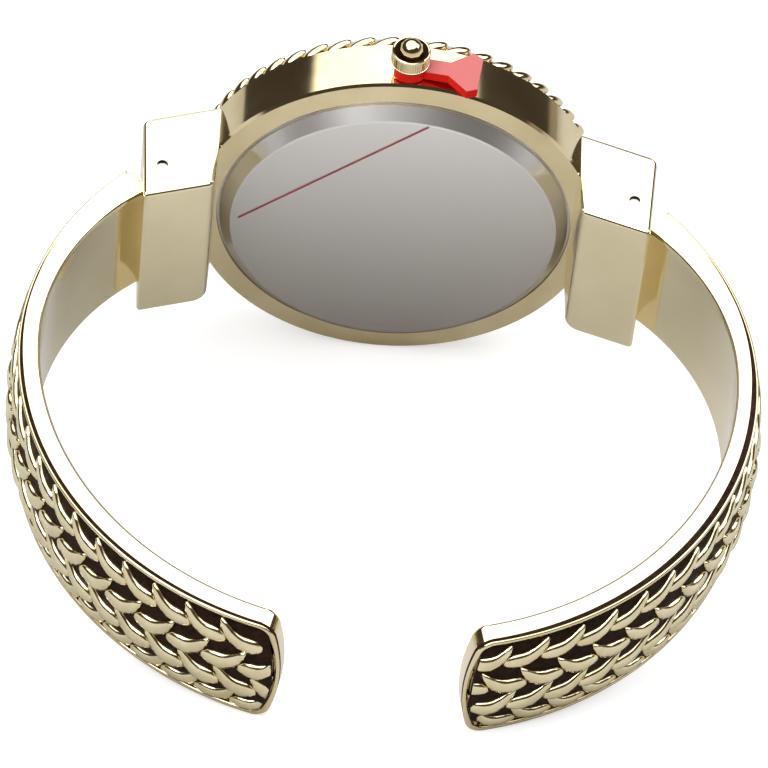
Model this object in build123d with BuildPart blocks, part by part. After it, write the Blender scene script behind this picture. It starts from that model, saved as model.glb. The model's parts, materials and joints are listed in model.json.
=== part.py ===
from build123d import *

import math
import os

# A cuff watch: a round quartz watch head between two sprung cuff arms.
# The watch is drawn upright in its own frame. X runs from one arm to the other, Y is
# depth, from the wrist towards the dial, and Z points to the crown. Depth 0 is the
# case's back rim, and the case axis is Y. At the end the whole watch is laid on its
# side with the crown up, so that the case rim and the two arm ends touch the ground.
# Sizes are millimetres and degrees.

# Case, with the rope edge and the crystal
case_r = 20.0
side_h = 5.2
rim_round = 0.25
rim_w = 2.4
back_seat_w = 1.0
back_seat_h = 1.1
shoulder_w = 1.5
neck_h = 1.5
bezel_h = 3.0
bezel_slope_w = 2.2
rope_h = 0.9
rope_stand = 0.15
rope_sink = 0.2
rope_lobes = 52
crest_share = 0.32
crystal_seat_w = 0.3
crystal_h = 1.65
crystal_bevel = 0.25
gasket_w = 0.25
gasket_h = 1.2

# Snap-on steel back, its seal and the clear film on it
back_stand = 1.3
back_gap = 0.3
back_bevel_w = 1.1
back_wall = 0.8
back_step = 0.2
back_fit = 0.03
flange_h = 0.8
seal_w = 0.8
film_margin = 0.3
film_h = 0.06

# Dial, markers, hands and the ring round the dial
dial_seat = 4.0
dial_gap = 0.2
dial_h = 0.4
dial_hole_r = 1.1
dial_ring_w = 0.8
dial_ring_slope_w = 0.8
dial_ring_gap = 0.05
marker_inset = 1.0
marker_l = 2.4
marker_w = 0.7
marker_h = 0.25
markers = 12
hand_h = 0.15
hand_gap = 0.3
hand_tip_share = 0.4
hand_tail = 2.2
hour_hand_l = 7.6
hour_hand_w = 1.3
hour_hub_r = 1.2
minute_hand_l = 11.8
minute_hand_w = 1.0
minute_hub_r = 0.9
second_hand_l = 12.6
second_hand_w = 0.3
second_tail = 3.4
second_hub_r = 0.6

# Movement: plate, bridge, battery and board
movement_r = 11.5
movement_h = 3.3
plate_wall = 1.0
plate_floor_h = 1.55
holder_gap = 0.3
holder_y = -0.3
bridge_h = 0.35
running_gap = 0.05
pivot_gap = 0.03
screw_r = 0.3
screw_l = 1.6
screw_head_r = 0.4
screw_head_h = 0.2
bridge_screw_count = 3
screw_turn = 60.0
boss_w = 2.4
boss_l = 2.5
boss_h = 1.3
battery_r = 3.4
battery_h = 2.5
battery_distance = 7.0
battery_turn = -90.0
battery_gap = 0.1
board_r = 9.8
board_edge = 3.2
board_h = 0.2

# Movement: wheels that set and turn the hands
wheel_h = 0.2
wheel_gap = 0.05
arbor_r = 0.14
motion_recess_h = 0.9
motion_wheel_h = 0.25
motion_distance = 2.8
minute_wheel_share = 0.75
hour_wheel_share = 0.8
minute_wheel_turn = 12.0
setting_wheel_r = 1.2
cannon_r = 0.5
cannon_bore_r = 0.22
hour_pipe_r = 0.85
train_distance = 2.55
third_wheel_share = 7.5 / 8.5
centre_wheel_share = 8 / 9
third_wheel_turn = 75.0
middle_distance = 3.0
seconds_wheel_share = 5 / 6
middle_wheel_turn = 190.0
rotor_distance = 2.1
middle_wheel_share = 6 / 7
rotor_turn = 200.0
rotor_r = 0.95
rotor_h = 0.7
stator_h = 0.35
stator_lobe_r = 1.8
stator_gap = 0.2
stator_neck_w = 2.4
coil_r = 0.6
coil_l = 6.0
coil_end_w = 1.9
coil_end_l = 1.0
coil_z = -7.8
coil_x = 1.4

# Crown, stem, crown tube and the red stopper that holds the crown out
crown_y = 1.95
crown_r = 1.9
crown_h = 1.6
crown_skirt_h = 0.9
crown_flutes = 24
flute_r = 0.14
crown_lip = 0.2
crown_dish = 0.3
dome_r = 1.3
dome_foot_h = 0.1
tube_r = 1.0
tube_bore_r = 0.52
tube_stand = 1.0
tube_foot_gap = 0.2
skirt_gap = 0.12
stem_r = 0.45
stem_neck_r = 0.28
stem_seat_h = 0.25
stem_foot_z = 4.6
pinion_r = 0.75
pinion_l = 1.0
push_in = 1.2
press_gap = 0.25
lever_l = 1.1
lever_w = 1.6
lever_h = 0.3
lever_z = 7.3
stopper_h = 1.05
stopper_lift = 0.15
stopper_r = 1.75
stopper_neck_w = 1.75
stopper_neck_l = 3.9
stopper_tail_x = 5.9
stopper_tail_w = 5.0
stopper_tip_w = 4.0
stopper_l = 6.9
stopper_turn = -6.5

# Hinge blocks, pins and springs
block_w = 18.0
block_lap = 2.0
block_case_y = -4.8
block_tip_reach = 4.8
block_tip_y = -7.0
block_top_reach = 5.45
block_top_y = 2.8
block_foot_lap = 2.4
block_foot_y = 5.4
block_round = 1.0
block_corner_r = 1.3
pin_reach = 3.2
pin_y = -2.85
pin_r = 0.55
pin_recess = 0.25
knuckle_r = 1.5
knuckle_w = 10.0
pocket_gap = 0.15
spring_w = 4.0
spring_r = 1.25
open_angle = 20.0
root_gap = 0.1
tongue_l = 3.2
tongue_h = 2.3

# Cuff arms: two arcs inside and two outside, which meet at the widest place
arm_w = 14.0
arm_reach = 13.55
arm_h = 2.1
inner_y = -23.2
inner_upper_r = 23.8
inner_lower_r = 32.4
outer_drop = 0.8
upper_swell = 7.2
lower_swell = 1.4
root_angle = 56.0
end_angle = 73.0
end_bulge = 2.4
end_corner_r = 1.3
rail_w = 0.55
channel_depth = 0.4
channel_swell = 0.3
channel_flat_w = 6.6
channel_angle = 45.0

# Leaves on the cuff arms: four slanted columns, whose points lean to and fro
leaf_l = 4.8
leaf_w = 1.3
leaf_h = 0.36
leaf_root_h = 0.7
leaf_lean = 32.0
leaf_dive = 4.0
leaf_belly_share = 0.3
leaf_waist_share = 0.6
waist_w_share = 0.6
leaf_pitch = 3.6
leaf_start = 0.3
leaf_shift_shares = (0.59, 0.13, 1.03, 0.88)

overrun = 1.0

back_seat_r = case_r - rim_w
cavity_r = back_seat_r - back_seat_w
neck_r = case_r - shoulder_w
rope_crest_r = case_r + rope_stand
rope_valley_r = case_r - rope_sink
bezel_face_r = rope_valley_r - bezel_slope_w
crystal_r = cavity_r + crystal_seat_w
back_bevel_r = back_seat_r - back_gap
back_face_r = back_bevel_r - back_bevel_w
back_inner_r = back_bevel_r - back_wall
film_r = back_face_r - film_margin
dial_r = cavity_r - dial_gap
dial_ring_face_r = cavity_r - dial_ring_w
dial_ring_foot_r = dial_ring_face_r - dial_ring_slope_w
marker_r = dial_ring_foot_r - marker_inset - marker_l / 2
neck_top = side_h + neck_h
bezel_top = side_h + bezel_h
crystal_top = neck_top + crystal_h
dial_top = dial_seat + dial_h
plate_back = dial_seat - movement_h
floor_y = dial_seat - plate_floor_h
cavity_wall_r = movement_r - plate_wall
crown_base = case_r + press_gap + push_in
tube_foot_z = back_seat_r + tube_foot_gap
block_case_x = case_r - block_lap
block_foot_x = case_r - block_foot_lap
block_tip_x = case_r + block_tip_reach
block_top_x = case_r + block_top_reach
pin_x = case_r + pin_reach
root_cut_w = 2 * knuckle_w
inner_x = case_r + arm_reach
outer_x = inner_x + arm_h
outer_y = inner_y - outer_drop
outer_upper_r = inner_upper_r + upper_swell
outer_lower_r = inner_lower_r + lower_swell


def depth_plane(depth):
    """A plane across the case axis, seen from the dial: X to the crown, Y to twelve."""
    return Plane(origin=(0, depth, 0), x_dir=(0, 0, 1), z_dir=(0, 1, 0))


def half_outline(*points):
    """Sketch a closed outline of (radius, depth) points, to be turned about the case axis."""
    with BuildSketch(Plane.XY) as outline:
        with BuildLine():
            Polyline(*points, close=True)
        make_face()
    return outline.sketch


# Case body: back seat, movement cavity, neck for the bezel and hole for the crown tube
with BuildPart() as mid_case:
    revolve(
        half_outline(
            (back_seat_r, 0),
            (case_r - rim_round, 0),
            (case_r, rim_round),
            (case_r, side_h),
            (neck_r, side_h),
            (neck_r, neck_top),
            (cavity_r, neck_top),
            (cavity_r, back_seat_h),
            (back_seat_r, back_seat_h),
        ),
        axis=Axis.Y,
    )
    with BuildSketch(Plane.XY.offset(cavity_r - overrun)):
        with Locations((0, crown_y)):
            Circle(tube_bore_r)
    extrude(amount=case_r - cavity_r + 2 * overrun, mode=Mode.SUBTRACT)
    with BuildSketch(Plane.XY.offset(tube_foot_z)):
        with Locations((0, crown_y)):
            Circle(tube_r)
    extrude(amount=case_r, mode=Mode.SUBTRACT)
mid_case.part.label = "mid_case"

# Bezel: a lobed rope edge below, a sloping face above, pressed over the case neck
with BuildPart() as bezel:
    with BuildSketch(depth_plane(side_h)):
        with BuildLine():
            pitch = 360 / rope_lobes
            for lobe in range(rope_lobes):
                Polyline(
                    Vector(rope_valley_r, 0).rotate(Axis.Z, lobe * pitch),
                    Vector(rope_crest_r, 0).rotate(Axis.Z, (lobe + crest_share) * pitch),
                    Vector(rope_crest_r, 0).rotate(Axis.Z, (lobe + 1 - crest_share) * pitch),
                    Vector(rope_valley_r, 0).rotate(Axis.Z, (lobe + 1) * pitch),
                )
        make_face()
    extrude(amount=rope_h)
    revolve(
        half_outline(
            (0, side_h + rope_h),
            (rope_valley_r, side_h + rope_h),
            (bezel_face_r, bezel_top),
            (0, bezel_top),
        ),
        axis=Axis.Y,
    )
    with BuildSketch(depth_plane(side_h)):
        Circle(neck_r)
    extrude(amount=neck_h, mode=Mode.SUBTRACT)
    with BuildSketch(depth_plane(side_h)):
        Circle(crystal_r + gasket_w)
    extrude(amount=bezel_h, mode=Mode.SUBTRACT)
bezel.part.label = "bezel"

with BuildPart() as crystal_gasket:
    with BuildSketch(depth_plane(neck_top)):
        Circle(crystal_r + gasket_w)
        Circle(crystal_r, mode=Mode.SUBTRACT)
    extrude(amount=gasket_h)
crystal_gasket.part.label = "crystal_gasket"

with BuildPart() as crystal:
    with BuildSketch(depth_plane(neck_top)):
        Circle(crystal_r)
    extrude(amount=crystal_h)
    chamfer(crystal.edges().sort_by(Axis.Y)[-1], crystal_bevel)
crystal.part.label = "crystal"

# Snap back: a shallow steel cup with a bevelled face that stands out of the case rim
flange_r = back_seat_r - back_fit
with BuildPart() as case_back:
    revolve(
        half_outline(
            (0, -back_stand),
            (back_face_r, -back_stand),
            (back_bevel_r, -back_step),
            (back_bevel_r, back_step),
            (flange_r, back_step),
            (flange_r, flange_h),
            (back_inner_r, flange_h),
            (back_inner_r, back_wall - back_stand),
            (0, back_wall - back_stand),
        ),
        axis=Axis.Y,
    )
case_back.part.label = "case_back"

with BuildPart() as back_seal:
    with BuildSketch(depth_plane(flange_h)):
        Circle(flange_r)
        Circle(back_seat_r - seal_w, mode=Mode.SUBTRACT)
    extrude(amount=back_seat_h - flange_h)
back_seal.part.label = "back_seal"

with BuildPart() as back_film:
    with BuildSketch(depth_plane(-back_stand)):
        Circle(film_r)
    extrude(amount=-film_h)
back_film.part.label = "back_film"

# Dial side
with BuildPart() as dial_ring:
    revolve(
        half_outline(
            (dial_ring_foot_r, dial_top),
            (cavity_r - dial_ring_gap, dial_top),
            (cavity_r - dial_ring_gap, neck_top - dial_ring_gap),
            (dial_ring_face_r, neck_top - dial_ring_gap),
        ),
        axis=Axis.Y,
    )
dial_ring.part.label = "dial_ring"

with BuildPart() as dial:
    with BuildSketch(depth_plane(dial_seat)):
        Circle(dial_r)
        Circle(dial_hole_r, mode=Mode.SUBTRACT)
    extrude(amount=dial_h)
dial.part.label = "dial"

with BuildPart() as dial_markers:
    with BuildSketch(depth_plane(dial_top)):
        with PolarLocations(marker_r, markers):
            Rectangle(marker_l, marker_w)
    extrude(amount=marker_h)
dial_markers.part.label = "dial_markers"

hour_y = dial_top + hand_gap
minute_y = hour_y + hand_h + hand_gap
second_y = minute_y + hand_h + hand_gap


def hand_outline(depth, length, back, width, hub, bore):
    """Sketch a tapered hand that points to twelve, with a hub for its own arbor."""
    tip = width * hand_tip_share / 2
    with BuildSketch(depth_plane(depth)) as outline:
        with BuildLine():
            Polyline(
                (-width / 2, -back), (width / 2, -back), (tip, length), (-tip, length), close=True
            )
        make_face()
        Circle(hub)
        Circle(bore, mode=Mode.SUBTRACT)
    return outline.sketch


with BuildPart() as hour_hand:
    extrude(
        hand_outline(hour_y, hour_hand_l, hand_tail, hour_hand_w, hour_hub_r, hour_pipe_r),
        amount=hand_h,
    )
hour_hand.part.label = "hour_hand"

with BuildPart() as minute_hand:
    extrude(
        hand_outline(minute_y, minute_hand_l, hand_tail, minute_hand_w, minute_hub_r, cannon_r),
        amount=hand_h,
    )
minute_hand.part.label = "minute_hand"

with BuildPart() as second_hand:
    extrude(
        hand_outline(second_y, second_hand_l, second_tail, second_hand_w, second_hub_r, arbor_r),
        amount=hand_h,
    )
second_hand.part.label = "second_hand"

# Movement. Each gear is a plain disc at its pitch radius, less half the gap to its mate.
minute_wheel_at = Vector(motion_distance, 0).rotate(Axis.Z, minute_wheel_turn)
minute_wheel_r = motion_distance * minute_wheel_share
cannon_leaf_r = motion_distance - minute_wheel_r
hour_wheel_r = motion_distance * hour_wheel_share
minute_leaf_r = motion_distance - hour_wheel_r
setting_reach = minute_wheel_r + setting_wheel_r
setting_wheel_z = minute_wheel_at.X + math.sqrt(setting_reach**2 - minute_wheel_at.Y**2)
setting_wheel_at = Vector(setting_wheel_z, 0)
third_at = Vector(train_distance, 0).rotate(Axis.Z, third_wheel_turn)
third_wheel_r = train_distance * third_wheel_share
centre_wheel_r = train_distance * centre_wheel_share
seconds_wheel_r = middle_distance * seconds_wheel_share
middle_at = Vector(middle_distance, 0).rotate(Axis.Z, middle_wheel_turn)
middle_wheel_r = rotor_distance * middle_wheel_share
rotor_at = middle_at + Vector(rotor_distance, 0).rotate(Axis.Z, rotor_turn)
battery_at = Vector(battery_distance, 0).rotate(Axis.Z, battery_turn)
coil_at = Vector(coil_z, coil_x)
motion_y = dial_seat - motion_recess_h
setting_y = crown_y + pinion_r + running_gap
minute_wheel_y = motion_y + running_gap
hour_wheel_y = dial_seat - running_gap * 3 - motion_wheel_h
bridge_y = plate_back - bridge_h
seconds_wheel_y = plate_back + wheel_h
third_wheel_y = seconds_wheel_y + 2 * wheel_h
centre_wheel_y = third_wheel_y + 3 * wheel_h
pivot_low = bridge_y + pivot_gap
pivot_high = floor_y + wheel_h
half_gap = wheel_gap / 2

with BuildPart() as main_plate:
    with BuildSketch(depth_plane(plate_back)):
        Circle(movement_r)
    extrude(amount=movement_h)
    with BuildSketch(depth_plane(plate_back)):
        Circle(cavity_wall_r)
    extrude(amount=floor_y - plate_back, mode=Mode.SUBTRACT)
    with BuildSketch(depth_plane(motion_y)):
        Circle(hour_wheel_r + running_gap)
        with Locations(minute_wheel_at):
            Circle(minute_wheel_r + running_gap)
        with Locations(setting_wheel_at):
            Circle(setting_wheel_r + running_gap)
    extrude(amount=motion_recess_h, mode=Mode.SUBTRACT)
    with BuildSketch(depth_plane(setting_y - running_gap)):
        with Locations(setting_wheel_at):
            Circle(setting_wheel_r + running_gap)
    extrude(amount=motion_recess_h, mode=Mode.SUBTRACT)
    with BuildSketch(depth_plane(floor_y)):
        Circle(cannon_r + running_gap)
        with Locations(third_at, middle_at, rotor_at, minute_wheel_at, setting_wheel_at):
            Circle(arbor_r + pivot_gap)
    extrude(amount=motion_y - floor_y, mode=Mode.SUBTRACT)
    with BuildSketch(Plane.XY.offset(movement_r - boss_l - plate_wall / 2)):
        with Locations((0, floor_y)):
            Rectangle(boss_w, 2 * boss_h)
    extrude(amount=boss_l)
    with BuildSketch(Plane.XY.offset(stem_foot_z - push_in - running_gap)):
        with Locations((0, crown_y)):
            Rectangle(2 * (pinion_r + running_gap), 2 * (pinion_r + running_gap))
    extrude(amount=pinion_l + push_in + 2 * running_gap, mode=Mode.SUBTRACT)
    with BuildSketch(Plane.XY.offset(stem_foot_z)):
        with Locations((0, crown_y)):
            Circle(stem_r + pivot_gap)
    extrude(amount=movement_r, mode=Mode.SUBTRACT)
    with BuildSketch(depth_plane(plate_back)):
        with PolarLocations(movement_r - plate_wall / 2, bridge_screw_count, screw_turn):
            Circle(screw_r)
    extrude(amount=screw_l, mode=Mode.SUBTRACT)
main_plate.part.label = "main_plate"

with BuildPart() as train_bridge:
    with BuildSketch(depth_plane(bridge_y)):
        Circle(movement_r)
        with Locations(battery_at):
            Circle(battery_r + battery_gap, mode=Mode.SUBTRACT)
        with Locations((0, 0), third_at, middle_at, rotor_at):
            Circle(arbor_r + pivot_gap, mode=Mode.SUBTRACT)
        with PolarLocations(movement_r - plate_wall / 2, bridge_screw_count, screw_turn):
            Circle(screw_r, mode=Mode.SUBTRACT)
    extrude(amount=bridge_h)
train_bridge.part.label = "train_bridge"

with BuildPart() as bridge_screws:
    with BuildSketch(depth_plane(bridge_y)):
        with PolarLocations(movement_r - plate_wall / 2, bridge_screw_count, screw_turn):
            Circle(screw_r)
    extrude(amount=screw_l)
    with BuildSketch(depth_plane(bridge_y)):
        with PolarLocations(movement_r - plate_wall / 2, bridge_screw_count, screw_turn):
            Circle(screw_head_r)
    extrude(amount=-screw_head_h)
bridge_screws.part.label = "bridge_screws"

with BuildPart() as battery:
    with BuildSketch(depth_plane(floor_y - battery_h)):
        with Locations(battery_at):
            Circle(battery_r)
    extrude(amount=battery_h)
battery.part.label = "battery"

with BuildPart() as circuit_board:
    with BuildSketch(depth_plane(bridge_y)):
        Circle(board_r)
        with Locations((0, board_edge - board_r)):
            Rectangle(2 * board_r, 2 * board_r, mode=Mode.SUBTRACT)
    extrude(amount=-board_h)
circuit_board.part.label = "circuit_board"

with BuildPart() as stator:
    with BuildSketch(depth_plane(floor_y - stator_h)):
        with Locations(coil_at):
            Rectangle(coil_end_w, coil_l + 2 * coil_end_l)
        with Locations((coil_z, rotor_at.Y)):
            Rectangle(rotor_at.X - coil_z, stator_neck_w, align=(Align.MIN, Align.CENTER))
        with Locations(rotor_at):
            Circle(stator_lobe_r)
            Circle(rotor_r + stator_gap, mode=Mode.SUBTRACT)
    extrude(amount=stator_h)
stator.part.label = "stator"

coil_y = floor_y - stator_h - coil_r
with BuildPart() as coil:
    with BuildSketch(Plane.YZ.offset(coil_x)):
        with Locations((coil_y, coil_z)):
            Circle(coil_r)
    extrude(amount=coil_l / 2, both=True)
    for side in (-1, 1):
        with BuildSketch(Plane.YZ.offset(coil_x + side * coil_l / 2)):
            with Locations((coil_y, coil_z)):
                Rectangle(2 * coil_r, coil_end_w)
        extrude(amount=side * coil_end_l)
coil.part.label = "coil"


def disc(at, radius, low, high, bore=0.0):
    """Add one round step of a wheel or arbor between two depths."""
    with BuildSketch(depth_plane(low)) as outline:
        with Locations(at):
            Circle(radius)
            if bore:
                Circle(bore, mode=Mode.SUBTRACT)
    extrude(outline.sketch, amount=high - low)


with BuildPart() as rotor:
    pinion = rotor_distance - middle_wheel_r - half_gap
    disc(rotor_at, arbor_r, pivot_low, pivot_high)
    disc(rotor_at, pinion, third_wheel_y, third_wheel_y + wheel_h)
    disc(rotor_at, rotor_r, floor_y - running_gap - rotor_h, floor_y - running_gap)
rotor.part.label = "rotor"

with BuildPart() as middle_wheel:
    pinion = middle_distance - seconds_wheel_r - half_gap
    disc(middle_at, arbor_r, pivot_low, pivot_high)
    disc(middle_at, pinion, seconds_wheel_y, third_wheel_y)
    disc(middle_at, middle_wheel_r - half_gap, third_wheel_y, third_wheel_y + wheel_h)
middle_wheel.part.label = "middle_wheel"

with BuildPart() as seconds_wheel:
    pinion = train_distance - third_wheel_r - half_gap
    disc((0, 0), arbor_r, pivot_low, second_y + hand_h)
    disc((0, 0), seconds_wheel_r - half_gap, seconds_wheel_y, seconds_wheel_y + wheel_h)
    disc((0, 0), pinion, seconds_wheel_y, third_wheel_y + wheel_h)
seconds_wheel.part.label = "seconds_wheel"

with BuildPart() as third_wheel:
    pinion = train_distance - centre_wheel_r - half_gap
    disc(third_at, arbor_r, pivot_low, pivot_high)
    disc(third_at, third_wheel_r - half_gap, third_wheel_y, third_wheel_y + wheel_h)
    disc(third_at, pinion, third_wheel_y, centre_wheel_y + wheel_h)
third_wheel.part.label = "third_wheel"

with BuildPart() as centre_wheel:
    wheel_r = centre_wheel_r - half_gap
    disc((0, 0), wheel_r, centre_wheel_y, centre_wheel_y + wheel_h, cannon_bore_r)
    disc((0, 0), cannon_r, centre_wheel_y, floor_y, cannon_bore_r)
centre_wheel.part.label = "centre_wheel"

minute_wheel_top = minute_wheel_y + motion_wheel_h
hour_wheel_top = hour_wheel_y + motion_wheel_h

with BuildPart() as cannon_pinion:
    disc((0, 0), cannon_r, floor_y + running_gap, minute_y + hand_h, cannon_bore_r)
    disc((0, 0), cannon_leaf_r - half_gap, minute_wheel_y, minute_wheel_top, cannon_bore_r)
cannon_pinion.part.label = "cannon_pinion"

with BuildPart() as minute_wheel:
    disc(minute_wheel_at, arbor_r, floor_y + running_gap, hour_wheel_top)
    disc(minute_wheel_at, minute_wheel_r - half_gap, minute_wheel_y, minute_wheel_top)
    disc(minute_wheel_at, minute_leaf_r - half_gap, minute_wheel_y, hour_wheel_top)
minute_wheel.part.label = "minute_wheel"

with BuildPart() as hour_wheel:
    hour_bore = cannon_r + running_gap
    disc((0, 0), hour_wheel_r - half_gap, hour_wheel_y, hour_wheel_top, hour_bore)
    disc((0, 0), hour_pipe_r, hour_wheel_y, hour_y + hand_h, hour_bore)
hour_wheel.part.label = "hour_wheel"

with BuildPart() as setting_wheel:
    disc(setting_wheel_at, arbor_r, floor_y + running_gap, minute_wheel_y)
    disc(setting_wheel_at, setting_wheel_r - half_gap, setting_y, minute_wheel_top)
setting_wheel.part.label = "setting_wheel"

# Ring that holds the movement in the case and carries the dial
with BuildPart() as movement_ring:
    with BuildSketch(depth_plane(holder_y)):
        Circle(cavity_r - holder_gap)
        Circle(movement_r + running_gap, mode=Mode.SUBTRACT)
    extrude(amount=dial_seat - holder_y)
    with BuildSketch(Plane.XY.offset(movement_r / 2)):
        with Locations((0, crown_y)):
            Circle(stem_r + running_gap)
    extrude(amount=cavity_r, mode=Mode.SUBTRACT)
movement_ring.part.label = "movement_ring"

# Crown and setting parts, all on the crown axis. The crown is drawn pulled out.
crown_axis = Axis((0, crown_y, 0), (0, 0, 1))
crown_top = crown_base + crown_h
skirt_z = crown_base + crown_skirt_h
dish_z = crown_top - crown_dish
dome_z = dish_z + dome_foot_h


def crown_disc(z, length, radius, bore=0.0, mode=Mode.ADD):
    """Add or cut a disc or tube on the crown axis, from z outwards."""
    with BuildSketch(Plane.XY.offset(z)) as outline:
        with Locations((0, crown_y)):
            Circle(radius)
            if bore:
                Circle(bore, mode=Mode.SUBTRACT)
    extrude(outline.sketch, amount=length, mode=mode)


with BuildPart() as crown:
    with BuildSketch(Plane.XZ.offset(-crown_y)):
        with BuildLine():
            Polyline(
                (0, dome_z + dome_r),
                (0, skirt_z + stem_seat_h),
                (stem_r, skirt_z + stem_seat_h),
                (stem_r, skirt_z),
                (tube_r + skirt_gap, skirt_z),
                (tube_r + skirt_gap, crown_base),
                (crown_r, crown_base),
                (crown_r, crown_top),
                (crown_r - crown_lip, crown_top),
                (crown_r - crown_lip, dish_z),
                (dome_r, dish_z),
                (dome_r, dome_z),
            )
            CenterArc((0, dome_z), dome_r, 0, 90)
        make_face()
    revolve(axis=crown_axis)
    with BuildSketch(Plane.XY.offset(crown_base)):
        with Locations((0, crown_y)):
            with PolarLocations(crown_r, crown_flutes):
                RegularPolygon(flute_r, 4)
    extrude(amount=crown_h - crown_lip, mode=Mode.SUBTRACT)
crown.part.label = "crown"

with BuildPart() as crown_tube:
    crown_disc(tube_foot_z, case_r + tube_stand - tube_foot_z, tube_r, tube_bore_r)
crown_tube.part.label = "crown_tube"

with BuildPart() as setting_stem:
    crown_disc(stem_foot_z, skirt_z + stem_seat_h - stem_foot_z, stem_r)
    crown_disc(
        lever_z - running_gap, lever_h + 2 * running_gap, stem_r + overrun, stem_neck_r,
        mode=Mode.SUBTRACT,
    )
setting_stem.part.label = "setting_stem"

with BuildPart() as sliding_pinion:
    crown_disc(stem_foot_z, pinion_l, pinion_r, stem_r)
sliding_pinion.part.label = "sliding_pinion"

with BuildPart() as setting_lever:
    with BuildSketch(Plane.XY.offset(lever_z)):
        with Locations((0, crown_y)):
            Rectangle(lever_w, 2 * (floor_y - running_gap - crown_y))
            with Locations((0, -lever_l / 2)):
                Rectangle(lever_w, lever_l)
                Rectangle(2 * (stem_neck_r + running_gap), lever_l, mode=Mode.SUBTRACT)
            Circle(stem_neck_r + running_gap, mode=Mode.SUBTRACT)
    extrude(amount=lever_h)
setting_lever.part.label = "setting_lever"

# Red stopper: a fork round the crown tube, a neck and a flared tail to pull it by
stopper_plane = Plane(
    origin=(0, crown_y, case_r + stopper_lift),
    x_dir=Vector(1, 0).rotate(Axis.Z, stopper_turn),
    z_dir=(0, 0, 1),
)

with BuildPart() as crown_stopper:
    with BuildSketch(stopper_plane):
        with BuildLine():
            Polyline(
                (0, stopper_neck_w / 2),
                (stopper_neck_l, stopper_neck_w / 2),
                (stopper_tail_x, stopper_tail_w / 2),
                (stopper_l, stopper_tip_w / 2),
                (stopper_l, -stopper_tip_w / 2),
                (stopper_tail_x, -stopper_tail_w / 2),
                (stopper_neck_l, -stopper_neck_w / 2),
                (0, -stopper_neck_w / 2),
                close=True,
            )
        make_face()
        Circle(stopper_r)
        Circle(tube_r + running_gap, mode=Mode.SUBTRACT)
        with Locations((-stopper_r, 0)):
            Rectangle(2 * stopper_r, 2 * (tube_r + running_gap), mode=Mode.SUBTRACT)
    extrude(amount=stopper_h)
crown_stopper.part.label = "crown_stopper"

# Right hinge block: a sheared box brazed round the case side, with the hinge pocket
block_slope = math.degrees(math.atan2(block_top_x - block_tip_x, block_top_y - block_tip_y))
face_x_at_pin = block_tip_x + (pin_y - block_tip_y) * math.tan(math.radians(block_slope))
pin_to_face = (face_x_at_pin - pin_x) * math.cos(math.radians(block_slope))
hinge = Location((pin_x, pin_y, 0), (0, 0, -block_slope))

with BuildPart() as right_block:
    with BuildSketch(Plane.XY):
        with BuildLine():
            Polyline(
                (block_case_x, block_case_y),
                (block_tip_x, block_tip_y),
                (block_top_x, block_top_y),
                (block_foot_x, block_foot_y),
                close=True,
            )
        make_face()
        fillet(vertices().sort_by(Axis.X)[-1], block_round)
    extrude(amount=block_w / 2, both=True)
    fillet(edges().group_by(Axis.Z)[0].sort_by(Axis.X)[0], block_corner_r)
    with BuildSketch(depth_plane(0)):
        Circle(case_r)
    extrude(amount=bezel_top, mode=Mode.SUBTRACT)
    with BuildSketch(Plane.XY):
        with Locations(hinge):
            Circle(knuckle_r + pocket_gap)
            Rectangle(
                pin_to_face + overrun, 2 * (knuckle_r + pocket_gap),
                align=(Align.MIN, Align.CENTER),
            )
    extrude(amount=knuckle_w / 2 + running_gap, both=True, mode=Mode.SUBTRACT)
    with BuildSketch(Plane.XY):
        with Locations(hinge):
            Circle(pin_r)
    extrude(amount=block_w, both=True, mode=Mode.SUBTRACT)
right_block.part.label = "right_hinge_block"

with BuildPart() as right_pin:
    with BuildSketch(Plane.XY):
        with Locations(hinge):
            Circle(pin_r)
    extrude(amount=block_w / 2 - pin_recess, both=True)
right_pin.part.label = "right_hinge_pin"

with BuildPart() as right_spring:
    with BuildSketch(Plane.XY):
        with Locations(hinge):
            Circle(spring_r)
            Circle(pin_r + running_gap, mode=Mode.SUBTRACT)
    extrude(amount=spring_w / 2 - running_gap, both=True)
right_spring.part.label = "right_hinge_spring"

# Right cuff arm. Its plan is two tangent arcs inside and two outside.
inner_upper_x = inner_x - inner_upper_r
inner_lower_x = inner_x - inner_lower_r
outer_upper_x = outer_x - outer_upper_r
outer_lower_x = outer_x - outer_lower_r
tip_angle = end_angle + math.degrees(end_bulge / outer_lower_r)
inner_tip = Vector(inner_lower_x, inner_y) + Vector(inner_lower_r, 0).rotate(Axis.Z, -tip_angle)
inner_root = Vector(inner_upper_x, inner_y) + Vector(inner_upper_r, 0).rotate(Axis.Z, root_angle)
outer_end_angle = tip_angle + math.degrees(overrun / outer_lower_r)
outer_end = Vector(outer_lower_x, outer_y) + Vector(outer_lower_r, 0).rotate(
    Axis.Z, -outer_end_angle
)
outer_root = Vector(outer_upper_x, outer_y) + Vector(outer_upper_r, 0).rotate(Axis.Z, root_angle)

lower_length = outer_lower_r * math.radians(tip_angle)
tip_plane = Plane(
    origin=inner_tip,
    x_dir=Vector(0, -1).rotate(Axis.Z, -tip_angle),
    z_dir=Vector(1, 0).rotate(Axis.Z, -tip_angle),
)


def tip_outline(inset):
    """Sketch the arm's end, a shallow arc with rounded corners, drawn in by a margin."""
    half = arm_w / 2 - inset
    with BuildSketch(tip_plane) as outline:
        with BuildLine():
            ThreePointArc((-end_bulge - inset, -half), (-inset, 0), (-end_bulge - inset, half))
            Polyline(
                (-end_bulge - inset, half),
                (-2 * outer_x, half),
                (-2 * outer_x, -half),
                (-end_bulge - inset, -half),
            )
        make_face()
        fillet(outline.vertices().group_by(Axis.X)[-1], end_corner_r - inset)
    return outline.sketch


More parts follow.
